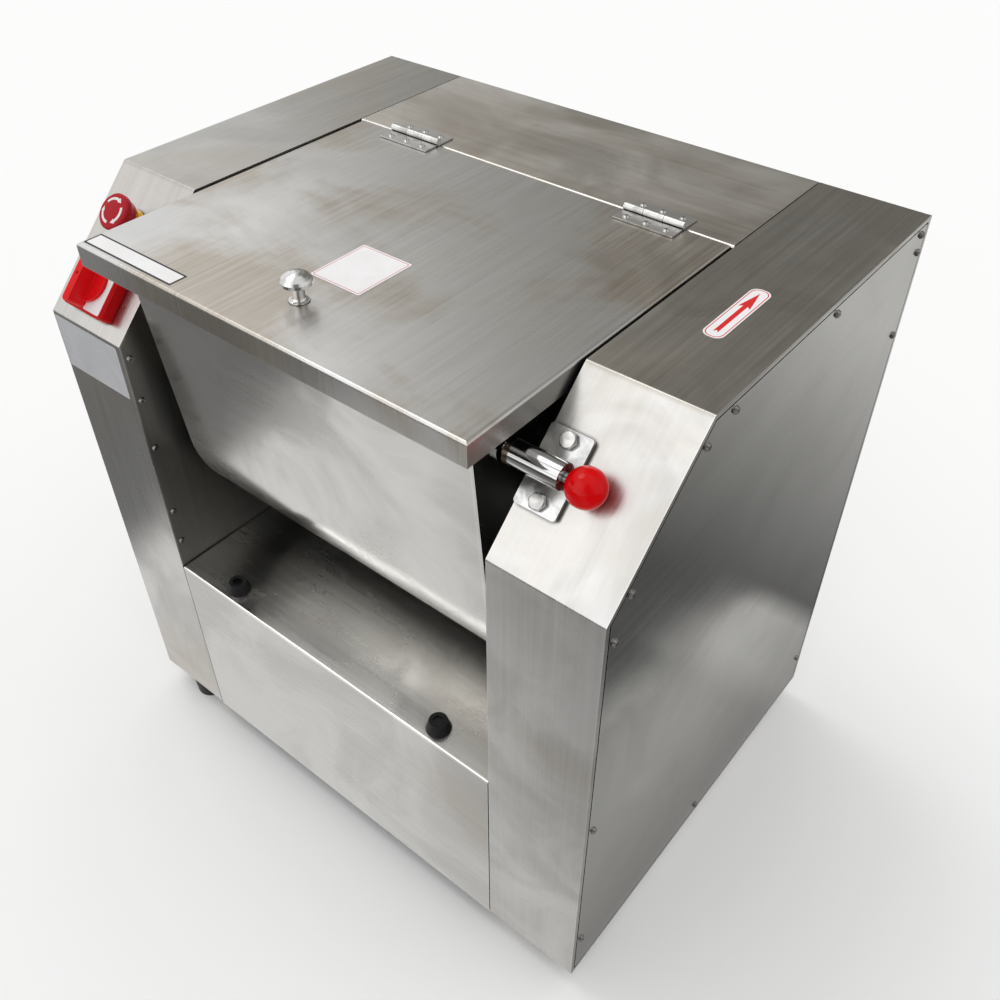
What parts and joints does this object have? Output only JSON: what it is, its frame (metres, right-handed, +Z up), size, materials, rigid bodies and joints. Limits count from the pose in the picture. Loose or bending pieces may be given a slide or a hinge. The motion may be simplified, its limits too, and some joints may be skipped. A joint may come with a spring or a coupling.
{
  "type": "dough mixer",
  "caption": "Horizontal dough mixer: two side cabinets, a tipping bowl with a kneading agitator under a hinged lid, a plunger latch, and belt and gear drive.",
  "frame": {"origin": "on the floor under the middle of the machine's bounding box", "axes": "+Z up, +X along the mixer shaft to the drive side, +Y to the back"},
  "size_m": [0.7048, 0.5634, 0.751],
  "materials": {
    "stainless": "satin brushed",
    "lid_steel": "satin brushed",
    "bright_steel": "polished",
    "plain_steel": "machined",
    "painted_steel": "semi-gloss",
    "motor_paint": "semi-gloss",
    "cast": "as cast",
    "bronze": "machined",
    "black_rubber": "matt",
    "belt_rubber": "matt",
    "black_plastic": "matt",
    "grey_plastic": "matt",
    "red_plastic": "gloss",
    "dark_red_plastic": "gloss",
    "yellow_plastic": "gloss"
  },
  "bodies": {
    "frame": {"left_cabinet_shell": "stainless", "right_cabinet_shell": "stainless", "left_side_plate": "stainless", "right_side_plate": "stainless", "left_frame_plate": "plain_steel", "right_frame_plate": "plain_steel", "pan_screws": "bright_steel", "front_panel": "stainless", "bumpers": "black_rubber", "bumper_screws": "bright_steel", "rear_cover": "stainless", "bay_wall": "stainless", "cross_beams": "painted_steel", "motor_plate": "painted_steel", "feet": "black_rubber", "hinge_body_leaves": "bright_steel", "hinge_pins": "bright_steel", "hinge_body_rivets": "bright_steel", "latch_plate": "plain_steel", "latch_bolts": "bright_steel", "latch_housing": "bright_steel", "latch_ring": "black_plastic", "latch_spring": "plain_steel", "estop_ring": "black_plastic", "estop_collar": "yellow_plastic", "contact_blocks": "black_plastic", "switch_housing": "red_plastic", "left_bearing_hub": "plain_steel", "right_bearing_hub": "plain_steel", "shaft_bushes": "bronze", "counter_cartridge": "plain_steel", "v_belts": "belt_rubber", "motor_body": "motor_paint", "motor_fan_cover": "motor_paint", "contactor": "grey_plastic", "cable_gland": "black_plastic"},
    "lid": {"lid_panel": "lid_steel", "lid_knob": "bright_steel", "hinge_lid_leaves": "bright_steel", "hinge_lid_rivets": "bright_steel"},
    "bowl": {"bowl_trough": "stainless", "bowl_left_end": "stainless", "bowl_right_end": "stainless", "bowl_hubs": "plain_steel", "latch_keeper": "plain_steel", "shaft_seals": "black_rubber"},
    "agitator": {"mixer_shaft": "plain_steel", "agitator_spiders": "stainless", "agitator_blades": "stainless", "main_gear": "cast"},
    "counter_set": {"countershaft": "plain_steel", "large_pulley": "cast"},
    "motor_rotor": {"motor_shaft": "plain_steel", "small_pulley": "cast"},
    "latch_plunger": {"latch_pin": "bright_steel", "latch_ball": "red_plastic"},
    "estop_button": {"estop_stem": "yellow_plastic"},
    "estop_mushroom": {"estop_head": "dark_red_plastic"},
    "switch_handle": {"switch_knob": "red_plastic"}
  },
  "joints": [
    {"name": "lid_hinge", "type": "hinge", "parent": "frame", "child": "lid", "pos_m": [0, 0.08575, 0.728], "axis": [-1, 0, 0], "range_deg": [0, 175]},
    {"name": "bowl_tip", "type": "hinge", "parent": "frame", "child": "bowl", "pos_m": [0, -0.09025, 0.493], "axis": [1, 0, 0], "range_deg": [0, 98]},
    {"name": "agitator_spin", "type": "hinge", "parent": "frame", "child": "agitator", "pos_m": [0, -0.09025, 0.493], "axis": [1, 0, 0], "continuous": true},
    {"name": "counter_spin", "type": "hinge", "parent": "frame", "child": "counter_set", "pos_m": [0, 0.04485, 0.415], "axis": [1, 0, 0], "continuous": true},
    {"name": "motor_spin", "type": "hinge", "parent": "frame", "child": "motor_rotor", "pos_m": [0, 0.02175, 0.1697], "axis": [1, 0, 0], "continuous": true},
    {"name": "latch_pull", "type": "slide", "parent": "frame", "child": "latch_plunger", "axis": [1, 0, 0], "range_m": [-0.003, 0.012], "stiffness_N_per_m": 600, "deforming": ["latch_spring"]},
    {"name": "estop_press", "type": "slide", "parent": "frame", "child": "estop_button", "axis": [0, 0.6984, -0.7157], "range_m": [0, 0.005], "stiffness_N_per_m": 1500},
    {"name": "estop_twist", "type": "hinge", "parent": "estop_button", "child": "estop_mushroom", "pos_m": [-0.293, -0.19315, 0.69571], "axis": [0, -0.6984, 0.7157], "range_deg": [0, 45], "stiffness_Nm_per_rad": 0.2},
    {"name": "switch_turn", "type": "hinge", "parent": "frame", "child": "switch_handle", "pos_m": [-0.293, -0.24544, 0.64621], "axis": [0, -0.6984, 0.7157], "range_deg": [-60, 60]}
  ],
  "couplings": [
    {"joint": "counter_spin", "follows": "agitator_spin", "ratio": -4.2},
    {"joint": "motor_spin", "follows": "agitator_spin", "ratio": -14.891}
  ]
}
